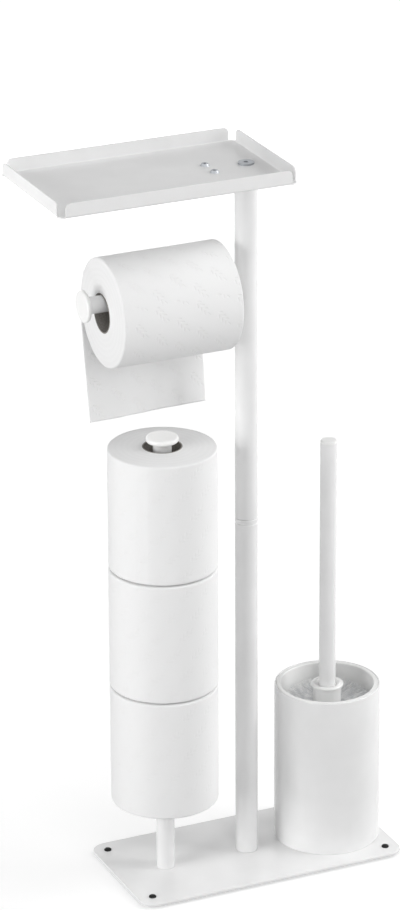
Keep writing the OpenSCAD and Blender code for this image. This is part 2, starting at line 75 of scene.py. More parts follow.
WAVE_PHASE = 20
log = logging.getLogger("roll_holder")

Point = tuple[float, float]
Place = tuple[float, float, float]
Colour = tuple[float, float, float, float]
Material = bpy.types.Material
Tree = bpy.types.NodeTree
Socket = bpy.types.NodeSocket
BMesh = bmesh.types.BMesh

WHITE: Colour = (1.0, 1.0, 1.0, 1.0)


class Body(Enum):
    """The rigid bodies that pieces ride on."""

    STAND = "stand"
    LINER = "liner"
    BRUSH = "brush"
    LOWER_SPARE = "lower_spare"
    MIDDLE_SPARE = "middle_spare"
    UPPER_SPARE = "upper_spare"
    SHEET = "sheet"
    ARM_ROLL = "arm_roll"


class Slot(Enum):
    """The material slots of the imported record."""

    COAT = "white_coat"
    PLASTIC = "white_plastic"
    ZINC = "zinc_steel"
    RUBBER = "black_rubber"
    BRISTLE = "bristle"
    TISSUE = "tissue"
    BOARD = "core_board"


class Upright(Enum):
    """Direction in which a turned piece stands, as the turn that takes +Z there."""

    UP = Matrix.Identity(4)
    LEFT = Matrix.Rotation(-math.pi / 2, 4, "Y")
    RIGHT = Matrix.Rotation(math.pi / 2, 4, "Y")


def linear(hex_code: str) -> Colour:
    """Turn an sRGB hex colour into the linear values that shaders take.

    Args:
        hex_code: Six hex digits, such as "F2F2F2".

    Returns:
        Linear red, green and blue, and an alpha of 1.
    """
    values = [int(hex_code[i : i + 2], 16) / 255 for i in (0, 2, 4)]
    return tuple(v / 12.92 if v <= 0.04045 else ((v + 0.055) / 1.055) ** 2.4 for v in values) + (1.0,)


def per_mm(size_mm: float) -> float:
    """Texture scale at which one cell of a pattern measures size_mm."""
    return 1.0 / (size_mm * MM)


def add_node(tree: Tree, kind: str, inputs: Optional[dict] = None, **settings) -> bpy.types.Node:
    """Add a shader node with its settings and links.

    Args:
        tree: Node tree that gets the node.
        kind: Type name of the node, without "ShaderNode".
        inputs: Input name or number to a value, or to the output socket that feeds it.
        settings: Attributes of the node itself.

    Returns:
        The new node.
    """
    node = tree.nodes.new("ShaderNode" + kind)
    for name, value in settings.items():
        setattr(node, name, value)
    for key, value in (inputs or {}).items():
        if isinstance(value, Socket):
            tree.links.new(value, node.inputs[key])
        else:
            node.inputs[key].default_value = value
    return node


def new_material(name: str) -> Material:
    """Make an empty node material.

    Args:
        name: Name of the finish.

    Returns:
        The material, with no nodes.
    """
    material = bpy.data.materials.new(name)
    material.use_nodes = True
    material.node_tree.nodes.clear()
    return material


def close_material(material: Material, shader: bpy.types.Node) -> Material:
    """Link a shader to the material's output and return the material."""
    add_node(material.node_tree, "OutputMaterial", {"Surface": shader.outputs[0]})
    return material


@dataclass(frozen=True)
class PowderCoat:
    """White epoxy-polyester powder coat, baked on steel: satin gloss with a faint orange peel."""

    name: str = "powder_coat_white"
    tint: str = "F1F1F1"
    shade: str = "ECECEC"
    roughness: float = 0.27
    ior: float = 1.5
    peel_mm: float = 1.6
    peel_depth_mm: float = 0.012
    cloud_mm: float = 45.0
    cloud_span: Point = (0.35, 0.65)

    def build(self) -> Material:
        """Make the material: clouded white under a fine, shallow ripple.

        Returns:
            The finished material.
        """
        material = new_material(self.name)
        tree = material.node_tree
        spot = add_node(tree, "TexCoord").outputs["Object"]
        cloud = add_node(tree, "TexNoise", {"Vector": spot, "Scale": per_mm(self.cloud_mm), "Detail": 2.0})
        ramp = add_node(tree, "ValToRGB", {"Fac": cloud.outputs["Fac"]})
        for stop, at, tone in zip(ramp.color_ramp.elements, self.cloud_span, (self.shade, self.tint)):
            stop.position = at
            stop.color = linear(tone)
        peel = add_node(tree, "TexNoise", {"Vector": spot, "Scale": per_mm(self.peel_mm), "Detail": 1.0})
        depth = self.peel_depth_mm * MM
        bump = add_node(tree, "Bump", {"Height": peel.outputs["Fac"], "Distance": depth})
        shader = add_node(
            tree,
            "BsdfPrincipled",
            {
                "Base Color": ramp.outputs["Color"],
                "Roughness": self.roughness,
                "IOR": self.ior,
                "Normal": bump.outputs["Normal"],
            },
        )
        return close_material(material, shader)


@dataclass(frozen=True)
class MouldedPlastic:
    """White polypropylene, injection moulded: smooth, a little waxy and slightly see-through."""

    name: str = "moulded_plastic_white"
    tint: str = "F3F3F2"
    roughness: Point = (0.26, 0.34)
    ior: float = 1.49
    waxy: float = 0.06
    waxy_depth_mm: float = 4.0
    flow_mm: float = 12.0
    flow_depth_mm: float = 0.02

    def build(self) -> Material:
        """Make the material: clear white with the faint waves of a moulding.

        Returns:
            The finished material.
        """
        material = new_material(self.name)
        tree = material.node_tree
        spot = add_node(tree, "TexCoord").outputs["Object"]
        flow = add_node(tree, "TexNoise", {"Vector": spot, "Scale": per_mm(self.flow_mm), "Detail": 1.5})
        depth = self.flow_depth_mm * MM
        bump = add_node(tree, "Bump", {"Height": flow.outputs["Fac"], "Distance": depth})
        low, high = self.roughness
        gloss = add_node(tree, "MapRange", {"Value": flow.outputs["Fac"], "To Min": low, "To Max": high})
        shader = add_node(
            tree,
            "BsdfPrincipled",
            {
                "Base Color": linear(self.tint),
                "Roughness": gloss.outputs["Result"],
                "IOR": self.ior,
                "Subsurface Weight": self.waxy,
                "Subsurface Radius": (self.waxy_depth_mm * MM,) * 3,
                "Subsurface Scale": 1.0,
                "Normal": bump.outputs["Normal"],
            },
        )
        return close_material(material, shader)


@dataclass(frozen=True)
class Zinc:
    """Zinc-plated steel of bolts and plugs: a cool grey metal with fine turning marks."""

    name: str = "zinc_plated_steel"
    tint: str = "A6A9AD"
    roughness: Point = (0.34, 0.56)
    mark_mm: float = 0.8

    def build(self) -> Material:
        """Make the material: metal whose gloss varies from spot to spot.

        Returns:
            The finished material.
        """
        material = new_material(self.name)
        tree = material.node_tree
        spot = add_node(tree, "TexCoord").outputs["Object"]
        marks = add_node(tree, "TexNoise", {"Vector": spot, "Scale": per_mm(self.mark_mm), "Detail": 3.0})
        low, high = self.roughness
        gloss = add_node(tree, "MapRange", {"Value": marks.outputs["Fac"], "To Min": low, "To Max": high})
        shader = add_node(
            tree,
            "BsdfPrincipled",
            {"Base Color": linear(self.tint), "Metallic": 1.0, "Roughness": gloss.outputs["Result"]},
        )
        return close_material(material, shader)


@dataclass(frozen=True)
class Rubber:
    """Black moulded rubber of the push-in feet: matt, with a fine grain."""

    name: str = "moulded_rubber_black"
    tint: str = "0E0E0E"
    roughness: float = 0.7
    gloss_level: float = 0.25
    grain_mm: float = 0.35
    grain_depth_mm: float = 0.02

    def build(self) -> Material:
        """Make the material: near black with a grain that breaks up the gloss.

        Returns:
            The finished material.
        """
        material = new_material(self.name)
        tree = material.node_tree
        spot = add_node(tree, "TexCoord").outputs["Object"]
        grain = add_node(tree, "TexNoise", {"Vector": spot, "Scale": per_mm(self.grain_mm), "Detail": 2.0})
        depth = self.grain_depth_mm * MM
        bump = add_node(tree, "Bump", {"Height": grain.outputs["Fac"], "Distance": depth})
        shader = add_node(
            tree,
            "BsdfPrincipled",
            {
                "Base Color": linear(self.tint),
                "Roughness": self.roughness,
                "Specular IOR Level": self.gloss_level,
                "Normal": bump.outputs["Normal"],
            },
        )
        return close_material(material, shader)


@dataclass(frozen=True)
class Nylon:
    """Pale nylon monofilament of the bristles: slightly clear, so the mass looks soft and grey.

    Light passes through many threads before it leaves; a faint white glow, which is painted light,
    brightens the mass where its own threads shade it.
    """

    name: str = "nylon_bristle"
    tint: str = "F0F0F0"
    shade: str = "CDCFD1"
    # painted light: strength of the white emission that brightens the self-shaded mass
    painted_glow: float = 0.06
    roughness: float = 0.42
    ior: float = 1.53
    streak_mm: float = 5.0
    streak_span: Point = (0.4, 0.6)

    def build(self) -> Material:
        """Make the material: two close greys, mixed from tuft to tuft.

        Returns:
            The finished material.
        """
        material = new_material(self.name)
        tree = material.node_tree
        spot = add_node(tree, "TexCoord").outputs["Object"]
        streaks = {"Vector": spot, "Scale": per_mm(self.streak_mm), "Detail": 1.0}
        streak = add_node(tree, "TexNoise", streaks).outputs["Fac"]
        ramp = add_node(tree, "ValToRGB", {"Fac": streak})
        for stop, at, tone in zip(ramp.color_ramp.elements, self.streak_span, (self.shade, self.tint)):
            stop.position = at
            stop.color = linear(tone)
        shader = add_node(
            tree,
            "BsdfPrincipled",
            {
                "Base Color": ramp.outputs["Color"],
                "Roughness": self.roughness,
                "IOR": self.ior,
                # Painted light: a faint white emission lifts the bristle mass out of its own shade.
                "Emission Color": WHITE,
                "Emission Strength": self.painted_glow,
            },
        )
        return close_material(material, shader)


@dataclass(frozen=True)
class Board:
    """Grey wound board of a roll's core, matt and flecked with short fibres; its grey is darkened further
    as painted shade for the inside of a bore.
    """

    name: str = "core_board"
    # The tint and shade are darker than the board alone: partly its own grey, partly painted shade for the
    # inside of a roll's bore.
    tint: str = "95928D"
    shade: str = "827E79"
    roughness: float = 0.88
    fibre_mm: float = 1.4
    fibre_depth_mm: float = 0.05
    fibre_span: Point = (0.38, 0.6)

    def build(self) -> Material:
        """Make the material: flecked board with a soft fibre relief.

        Returns:
            The finished material.
        """
        material = new_material(self.name)
        tree = material.node_tree
        spot = add_node(tree, "TexCoord").outputs["Object"]
        fibres = {"Vector": spot, "Scale": per_mm(self.fibre_mm), "Detail": 5.0, "Roughness": 0.7}
        fibre = add_node(tree, "TexNoise", fibres).outputs["Fac"]
        ramp = add_node(tree, "ValToRGB", {"Fac": fibre})
        for stop, at, tone in zip(ramp.color_ramp.elements, self.fibre_span, (self.shade, self.tint)):
            stop.position = at
            stop.color = linear(tone)
        bump = add_node(tree, "Bump", {"Height": fibre, "Distance": self.fibre_depth_mm * MM})
        shader = add_node(
            tree,
            "BsdfPrincipled",
            {
                "Base Color": ramp.outputs["Color"],
                "Roughness": self.roughness,
                "Normal": bump.outputs["Normal"],
            },
        )
        return close_material(material, shader)


@dataclass(frozen=True)
class Tissue:
    """Bleached tissue, embossed with small sprigs of leaves: very matt, soft and fibrous.

    The pattern follows the paper through its own UV map, which holds metres along the paper and
    across it. Each leaf of a sprig is given by its middle, in mm, and its turn, in degrees.
    """

    name: str = "embossed_tissue"
    tint: str = "F2F2F2"
    roughness: float = 0.95
    gloss_level: float = 0.2
    sheen: float = 0.15
    sheen_roughness: float = 0.6
    cell_mm: Point = (24.0, 19.0)
    leaf_mm: Point = (2.5, 1.1)
    leaf_core: float = 0.45
    leaf_depth_mm: float = 0.21
    fibre_mm: float = 0.9
    fibre_depth_mm: float = 0.05
    leaves: tuple[Place, ...] = (
        (-6.9, -3.4, 84.0),
        (-3.3, -5.2, 8.0),
        (-3.6, -0.6, 84.0),
        (0.0, -2.4, 8.0),
        (-0.3, 2.2, 84.0),
        (3.4, 0.6, 8.0),
        (4.6, 4.6, 46.0),
    )

    def _cell(self, tree: Tree, paper: Socket) -> Socket:
        """Repeat the paper's plane in cells, each second row pushed on by half a cell.

        Args:
            tree: Node tree that gets the nodes.
            paper: Place on the paper, in metres.

        Returns:
            Place inside the cell, in mm from its middle.
        """
        width, height = self.cell_mm
        scaling = {0: paper, 1: (per_mm(width), per_mm(height), 0)}
        scaled = add_node(tree, "VectorMath", scaling, operation="MULTIPLY").outputs[0]
        parts = add_node(tree, "SeparateXYZ", {0: scaled}).outputs
        row = add_node(tree, "Math", {0: parts["Y"]}, operation="FLOOR").outputs[0]
        odd = add_node(tree, "Math", {0: row, 1: 2.0}, operation="FLOORED_MODULO").outputs[0]
        pushed = {0: odd, 1: 0.5, 2: parts["X"]}
        shift = add_node(tree, "Math", pushed, operation="MULTIPLY_ADD").outputs[0]
        moved = add_node(tree, "CombineXYZ", {"X": shift, "Y": parts["Y"]}).outputs[0]
        inside = add_node(tree, "VectorMath", {0: moved}, operation="FRACTION").outputs[0]
        centred = {0: inside, 1: (width, height, 0), 2: (-width / 2, -height / 2, 0)}
        return add_node(tree, "VectorMath", centred, operation="MULTIPLY_ADD").outputs[0]

    def _leaf(self, tree: Tree, cell: Socket, leaf: Place) -> Socket:
        """Shape one leaf with a pointed tip at each end.

        Args:
            tree: Node tree that gets the nodes.
            cell: Place inside the cell, in mm.
            leaf: Middle in x and y, in mm, and the turn in degrees.

        Returns:
            1 on the leaf and 0 off it, with a soft edge.
        """
        x, y, turn = leaf
        pose = {
            "Vector": cell,
            "Location": (x, y, 0),
            "Rotation": (0, 0, math.radians(turn)),
            "Scale": (*self.leaf_mm, 1.0),
        }
        local = add_node(tree, "Mapping", pose, vector_type="TEXTURE").outputs[0]
        parts = add_node(tree, "SeparateXYZ", {0: local}).outputs
        square = add_node(tree, "Math", {0: parts["X"], 1: parts["X"]}, operation="MULTIPLY").outputs[0]
        side = add_node(tree, "Math", {0: parts["Y"]}, operation="ABSOLUTE").outputs[0]
        reach = add_node(tree, "Math", {0: square, 1: side}, operation="ADD").outputs[0]
        edge = {"Value": reach, "From Min": 1.0, "From Max": self.leaf_core, "To Min": 0.0, "To Max": 1.0}
        return add_node(tree, "MapRange", edge, interpolation_type="SMOOTHSTEP").outputs["Result"]

    def build(self) -> Material:
        """Make the material: soft fibres with the sprigs pressed into them.

        Returns:
            The finished material.
        """
        material = new_material(self.name)
        tree = material.node_tree
        paper = add_node(tree, "UVMap", uv_map="wrap").outputs["UV"]
        cell = self._cell(tree, paper)
        sprig = self._leaf(tree, cell, self.leaves[0])
        for leaf in self.leaves[1:]:
            other = self._leaf(tree, cell, leaf)
            sprig = add_node(tree, "Math", {0: sprig, 1: other}, operation="MAXIMUM").outputs[0]
        fibres = {"Vector": paper, "Scale": per_mm(self.fibre_mm), "Detail": 4.0, "Roughness": 0.65}
        fibre = add_node(tree, "TexNoise", fibres).outputs["Fac"]
        soft = add_node(tree, "Bump", {"Height": fibre, "Distance": self.fibre_depth_mm * MM})
        pressed = {
            "Height": sprig,
            "Distance": self.leaf_depth_mm * MM,
            "Normal": soft.outputs["Normal"],
        }
        emboss = add_node(tree, "Bump", pressed, invert=True)
        shader = add_node(
            tree,
            "BsdfPrincipled",
            {
                "Base Color": linear(self.tint),
                "Roughness": self.roughness,
                "Specular IOR Level": self.gloss_level,
                "Sheen Weight": self.sheen,
                "Sheen Roughness": self.sheen_roughness,
                "Normal": emboss.outputs["Normal"],
            },
        )
        return close_material(material, shader)


@dataclass(frozen=True)
class TissueEdge:
    """End of a roll: hundreds of paper edges side by side, so it is soft with faint rings.

    Real layers are about 0.25 mm apart, which is too fine to show, so the rings are drawn coarser.
    """

    name: str = "tissue_edge"
    tint: str = "EEEEEE"
    shade: str = "ECECEC"
    roughness: float = 0.97
    gloss_level: float = 0.15
    ring_mm: float = 5.0265
    ring_depth_mm: float = 0.006
    ring_waver: float = 1.2
    crumple_mm: float = 7.0
    crumple_depth_mm: float = 0.2

    def build(self) -> Material:
        """Make the material: rings that follow the winding, with soft dents.

        Returns:
            The finished material.
        """
        material = new_material(self.name)
        tree = material.node_tree
        paper = add_node(tree, "UVMap", uv_map="wrap").outputs["UV"]
        spot = add_node(tree, "TexCoord").outputs["Object"]
        crumples = {"Vector": spot, "Scale": per_mm(self.crumple_mm), "Detail": 2.0}
        crumple = add_node(tree, "TexNoise", crumples).outputs["Fac"]
        bands = {
            "Vector": paper,
            "Scale": per_mm(self.ring_mm) * math.tau / WAVE_PHASE,
            "Distortion": self.ring_waver,
            "Detail": 2.0,
        }
        rings = add_node(tree, "TexWave", bands, wave_type="BANDS", bands_direction="Y").outputs["Fac"]
        ramp = add_node(tree, "ValToRGB", {"Fac": rings})
        for stop, at, tone in zip(ramp.color_ramp.elements, (0.0, 1.0), (self.shade, self.tint)):
            stop.position = at
            stop.color = linear(tone)
        dent = add_node(tree, "Bump", {"Height": crumple, "Distance": self.crumple_depth_mm * MM})
        ridges = {
            "Height": rings,
            "Distance": self.ring_depth_mm * MM,
            "Normal": dent.outputs["Normal"],
        }
        bump = add_node(tree, "Bump", ridges)
        shader = add_node(
            tree,
            "BsdfPrincipled",
            {
                "Base Color": ramp.outputs["Color"],
                "Roughness": self.roughness,
                "Specular IOR Level": self.gloss_level,
                "Normal": bump.outputs["Normal"],
            },
        )
        return close_material(material, shader)


@dataclass(frozen=True)
class Dress:
    """Where a finished mesh belongs: its body, record slot, materials and what it stands for."""

    body: Body
    slot: Slot
    materials: tuple[Material, ...]
    stands_for: tuple[str, ...] = ()


def lathe(profile: Sequence[Point], closed: bool = False, steps: int = ROUND_STEPS) -> BMesh:
    """Turn a profile all the way round the Z axis.

    Args:
        profile: Radius and height of each corner, in mm.
        closed: Whether the last corner joins the first, as for a ring or tube.
        steps: Number of segments round the axis.

    Returns:
        A closed mesh with its faces pointing outwards.
    """
    bm = bmesh.new()
    corners = [bm.verts.new((r * MM, 0.0, z * MM)) for r, z in profile]
    edges = [bm.edges.new(pair) for pair in zip(corners, corners[1:])]
    if closed:
        edges.append(bm.edges.new((corners[-1], corners[0])))
    bmesh.ops.spin(
        bm,
        geom=corners + edges,
        cent=(0, 0, 0),
        axis=(0, 0, 1),
        angle=math.tau,
        steps=steps,
        use_merge=True,
    )
    bmesh.ops.remove_doubles(bm, verts=bm.verts, dist=1e-6)
    bmesh.ops.recalc_face_normals(bm, faces=bm.faces)
    return bm


def ring(bore: float, radius: float, low: float, high: float, steps: int = ROUND_STEPS) -> BMesh:
    """Turn a plain tube between two heights, in mm, with sharp rims."""
    profile = [(bore, low), (radius, low), (radius, high), (bore, high)]
    return lathe(profile, closed=True, steps=steps)


def shifted(corner: Point, offsets: Iterable[Point]) -> list[Point]:
    """Points of a rounded corner, from small offsets to the sharp one, in mm."""
    return [(corner[0] + dr, corner[1] + dz) for dr, dz in offsets]


def dome(radius: float, low: float, height: float, curve: Iterable[Point]) -> list[Point]:
    """Points of a dome, from shares of its radius and of its height."""
    return [(radius * share, low + height * rise) for share, rise in curve]


def block(size: Place, low: float, corner: float) -> BMesh:
    """Make a flat plate with round corners, centred on the Z axis.

    Args:
        size: Length, width and thickness, in mm.
        low: Height of the underside, in mm.
        corner: Radius of the upright corners, in mm.

    Returns:
        The plate, with sharp rims.
    """
    bm = bmesh.new()
    bmesh.ops.create_cube(bm, size=MM)
    bmesh.ops.scale(bm, vec=size, verts=bm.verts)
    bmesh.ops.translate(bm, vec=(0, 0, (low + size[2] / 2) * MM), verts=bm.verts)
    upright = [e for e in bm.edges if abs((e.verts[0].co - e.verts[1].co).z) > size[2] * MM / 2]
    bmesh.ops.bevel(
        bm,
        geom=upright,
        offset=corner * MM,
        segments=CORNER_STRIPS,
        profile=0.5,
        affect="EDGES",
        material=-1,
    )
    return bm


def beyond(radius: float) -> Callable[[Vector], bool]:
    """Pick the points that lie farther than a radius, in mm, from the Z axis."""
    return lambda middle: math.hypot(middle.x, middle.y) > radius * MM


def soften(
    bm: BMesh,
    width: float,
    segments: int = 3,
    where: Callable[[Vector], bool] = lambda middle: True,
) -> None:
    """Round every sharp edge.

    Args:
        bm: Mesh that is changed.
        width: Width of the rounding, in mm.
        segments: Number of strips across it.
        where: Picks edges by their middle, in metres.
    """
    sharp = [
        e
        for e in bm.edges
        if e.is_manifold
        and e.calc_face_angle(0.0) > math.radians(SHARP_ANGLE)
        and where((e.verts[0].co + e.verts[1].co) / 2)
    ]
    bmesh.ops.bevel(
        bm,
        geom=sharp,
        offset=width * MM,
        segments=segments,
        profile=0.5,
        affect="EDGES",
        material=-1,
        clamp_overlap=True,
    )


def place(bm: BMesh, at: Sequence[float], upright: Upright = Upright.UP) -> BMesh:
    """Turn a mesh from +Z to its direction and move it to its place.

    Args:
        bm: Mesh that is moved.
        at: Place of its origin, in mm.
        upright: Direction in which its +Z comes to stand.

    Returns:
        The same mesh.
    """
    bmesh.ops.transform(bm, matrix=upright.value, verts=bm.verts)
    bmesh.ops.translate(bm, vec=Vector(at) * MM, verts=bm.verts)
    return bm


def join(parts: Iterable[BMesh]) -> BMesh:
    """Gather several meshes in one.

    Args:
        parts: Meshes, which are freed.

    Returns:
        One mesh with all of them.
    """
    whole = bmesh.new()
    carrier = bpy.data.meshes.new("carrier")
    for part in parts:
        part.to_mesh(carrier)
        whole.from_mesh(carrier)
        part.free()
    bpy.data.meshes.remove(carrier)
    return whole


def finish_piece(name: str, bm: BMesh, dress: Dress, weighted: bool = True) -> bpy.types.Object:
    """Make the object, dress it and hang it on its body.

    Args:
        name: Name of the piece.
        bm: Its mesh, in metres and in place. It is freed.
        dress: Its body, slot, materials and the nodes that it stands for.
        weighted: Whether flat faces keep flat shading up to their rounded rims.

    Returns:
        The finished object.
    """
    mesh = bpy.data.meshes.new(name)
    bm.to_mesh(mesh)
    bm.free()
    for material in dress.materials:
        mesh.materials.append(material)
    mesh.shade_smooth()
    mesh.set_sharp_from_angle(angle=math.radians(SMOOTH_ANGLE))
    piece = bpy.data.objects.new(name, mesh)
    bpy.context.scene.collection.objects.link(piece)
    if weighted:
        weights = piece.modifiers.new("flat_faces", "WEIGHTED_NORMAL")
        weights.keep_sharp = True
    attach(piece, dress.body.value)
    if dress.stands_for:
        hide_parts(*dress.stands_for)
    log.info("%s: %d faces on %s", name, len(mesh.polygons), dress.body.value)
    return piece


@dataclass
class Wardrobe:
    """Every finish of the holder, built once: one for each slot, and those of paper besides."""

    by_slot: dict[Slot, Material]
    stored_tissue: Material
    tissue_edge: Material

    @classmethod
    def build(cls) -> "Wardrobe":
        """Build all finishes. Stored paper is wound tight, so its sprigs are pressed flatter.

        Returns:
            The wardrobe.
        """
        finishes = (PowderCoat(), MouldedPlastic(), Zinc(), Rubber(), Nylon(), Tissue(), Board())
        by_slot = {slot: finish.build() for slot, finish in zip(Slot, finishes)}
        stored = Tissue(name="embossed_tissue_stored", leaf_depth_mm=0.11)
        return cls(by_slot, stored.build(), TissueEdge().build())

    def dress(self, slot: Slot, node: str, body: Body = Body.STAND) -> Dress:
        """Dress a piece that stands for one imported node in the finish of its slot."""
        return Dress(body, slot, (self.by_slot[slot],), (node,))

    def dress_nodes(self) -> None:
        """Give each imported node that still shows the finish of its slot."""
        slots = {s["node"]: s["material_slot"] for s in frame["record"]["subparts"]}
        for name, node in frame["nodes"].items():
            for holder in node.material_slots:
                holder.material = self.by_slot[Slot(slots[name])]


@dataclass
class Assembly:
    """Sub-assembly of the holder, which takes its finishes from the wardrobe."""

    wardrobe: Wardrobe


@dataclass
class Base(Assembly):
    """Steel base plate on four push-in rubber feet."""

    middle_x: float = POLE_X
    size: Place = (256.0, 130.0, 3.0)
    corner: float = 15.0
    rim: float = 0.7
    foot_span: Point = (115.0, 50.0)
    foot_height: float = 2.5
    foot_radius: float = 8.0
    foot_bevel: float = 1.0
    foot_steps: int = 40
    stem_radius: float = 2.4
    head_radius: float = 3.3
    head_height: float = 1.8
    head_curve: tuple[Point, ...] = ((1, 0), (0.97, 0.45), (0.78, 0.8), (0.42, 0.97), (0, 1))

    def plate(self) -> None:
        """Build the base plate, with softened rims."""
        bm = block(self.size, self.foot_height, self.corner)
        soften(bm, self.rim)
        place(bm, (self.middle_x, 0, 0))
        finish_piece("base_plate_steel", bm, self.wardrobe.dress(Slot.COAT, "base_plate"))

    def foot(self) -> BMesh:
        """Build one foot: a pad below the plate and a domed head above it.

        Returns:
            The foot, round the Z axis.
        """
        deck = self.foot_height + self.size[2]
        pad = [
            (0, 0),
            (self.foot_radius - self.foot_bevel, 0),
            (self.foot_radius, self.foot_bevel),
            (self.foot_radius, self.foot_height),
            (self.stem_radius, self.foot_height),
            (self.stem_radius, deck),
        ]
        head = dome(self.head_radius, deck, self.head_height, self.head_curve)
        return lathe(pad + head, steps=self.foot_steps)

    def feet(self) -> None:
        """Build the four feet, one near each corner."""
        across, deep = self.foot_span
        corners = [(sx * across, sy * deep) for sx in (-1, 1) for sy in (-1, 1)]
        feet = [place(self.foot(), (self.middle_x + x, y, 0)) for x, y in corners]
        finish_piece("push_in_feet", join(feet), self.wardrobe.dress(Slot.RUBBER, "rubber_feet"))


@dataclass
class Pole(Assembly):
    """Main pole: two tubes with a ring between them."""

    x: float = POLE_X
    radius: float = 10.0
    wall: float = 1.2
    foot: float = DECK
    ring_low: float = 326.5
    ring_high: float = 331.0
    spigot: float = 30.0
    top: float = 652.0
    edge: float = 0.95

    def tube(self, low: float, high: float) -> BMesh:
        """Build one half of the pole.

        Args:
            low: Height of its foot, in mm.
            high: Height of its top, in mm.

        Returns:
            The tube in its place.
        """
        bm = ring(self.radius - self.wall, self.radius, low, high)
        soften(bm, self.edge, 3, beyond(self.radius - RIM_REACH))
        return place(bm, (self.x, 0, 0))

    def build(self) -> None:
        """Build both tubes and the ring that closes the seam between them."""
        lower, upper = self.tube(self.foot, self.ring_low), self.tube(self.ring_high, self.top)
        finish_piece("pole_lower_tube", lower, self.wardrobe.dress(Slot.COAT, "lower_pole"))
        finish_piece("pole_upper_tube", upper, self.wardrobe.dress(Slot.COAT, "upper_pole"))
        bore = self.radius - self.wall - FIT
        coupler = lathe(
            [
                (0, self.ring_low - self.spigot),
                (bore, self.ring_low - self.spigot),
                (bore, self.ring_low),
                (self.radius, self.ring_low),
                (self.radius, self.ring_high),
                (bore, self.ring_high),
                (bore, self.ring_high + self.spigot),
                (0, self.ring_high + self.spigot),
            ]
        )
        low, high = self.ring_low * MM - 1e-5, self.ring_high * MM + 1e-5
        soften(coupler, self.edge, 3, lambda middle: low < middle.z < high)
        place(coupler, (self.x, 0, 0))
        finish_piece("pole_ring", coupler, self.wardrobe.dress(Slot.COAT, "pole_coupler"))


@dataclass
class EndCap:
    """Round cap with a soft edge, and a stem that is pushed into the tube."""

    radius: float
    thickness: float
    fillet: float
    stem_radius: float
    stem: float = 12.0

    def build(self) -> BMesh:
        """Build the cap.

        Returns:
            The cap, with its disc standing on z = 0 and its stem below.
        """
        bm = lathe(
            [
                (0, -self.stem),
                (self.stem_radius, -self.stem),
                (self.stem_radius, 0),
                (self.radius, 0),
                (self.radius, self.thickness),
                (0, self.thickness),
            ]
        )
        soften(bm, self.fillet, 5, beyond(self.radius - RIM_REACH))
        return bm


@dataclass
class StoragePost(Assembly):
    """Post for the stored rolls, with a stop disc below them and a cap above."""

    x: float = POST_X
    radius: float = 8.25
    wall: float = 1.2
    foot: float = DECK
    top: float = 415.5
    rim: float = 0.4
    cap_radius: float = 14.25
    cap_thickness: float = 5.0
    cap_fillet: float = 2.1
    stop_top: float = 74.5
    stop_radius: float = 25.0
    stop_thickness: float = 2.5
    stop_rim: float = 0.6
    hub_radius: float = 12.25
    hub_height: float = 8.0

    def build(self) -> None:
        """Build the tube, the stop disc with its hub, and the cap."""
        tube = ring(self.radius - self.wall, self.radius, self.foot, self.top)
        soften(tube, self.rim, 2)
        place(tube, (self.x, 0, 0))
        finish_piece("storage_tube", tube, self.wardrobe.dress(Slot.COAT, "storage_post"))
        low, bore = self.stop_top - self.stop_thickness, self.radius + FIT
        stop = lathe(
            [
                (bore, low - self.hub_height),
                (self.hub_radius, low - self.hub_height),
                (self.hub_radius, low),
                (self.stop_radius, low),
                (self.stop_radius, self.stop_top),
                (bore, self.stop_top),
            ],
            closed=True,
        )
        soften(stop, self.stop_rim)
        place(stop, (self.x, 0, 0))
        finish_piece("roll_stop", stop, self.wardrobe.dress(Slot.COAT, "roll_stop_disc"))
        stem = self.radius - self.wall - FIT
        cap = EndCap(self.cap_radius, self.cap_thickness, self.cap_fillet, stem).build()
        place(cap, (self.x, 0, self.top))
        finish_piece("storage_cap", cap, self.wardrobe.dress(Slot.PLASTIC, "post_end_cap"))


@dataclass
class RollArm(Assembly):
    """Arm that carries the roll in use, closed by a cap that keeps the roll on."""

    pole_x: float = POLE_X
    tip_x: float = -114.0
    height: float = 550.6
    radius: float = 7.5
    wall: float = 1.2
    rim: float = 0.4
    root_inside: float = 9.2
    cap_radius: float = 14.25
    cap_thickness: float = 4.0
    cap_fillet: float = 1.6

    def build(self) -> None:
        """Build the arm, which runs into the pole's wall, and its cap."""
        tip = (self.tip_x, 0, self.height)
        bore = self.radius - self.wall
        rod = ring(bore, self.radius, 0, self.pole_x - self.root_inside - self.tip_x)
        soften(rod, self.rim, 2)
        place(rod, tip, Upright.RIGHT)
        finish_piece("arm_tube", rod, self.wardrobe.dress(Slot.COAT, "roll_arm"))
        cap = EndCap(self.cap_radius, self.cap_thickness, self.cap_fillet, bore - FIT).build()
        place(cap, tip, Upright.LEFT)
        finish_piece("arm_cap", cap, self.wardrobe.dress(Slot.PLASTIC, "arm_end_cap"))


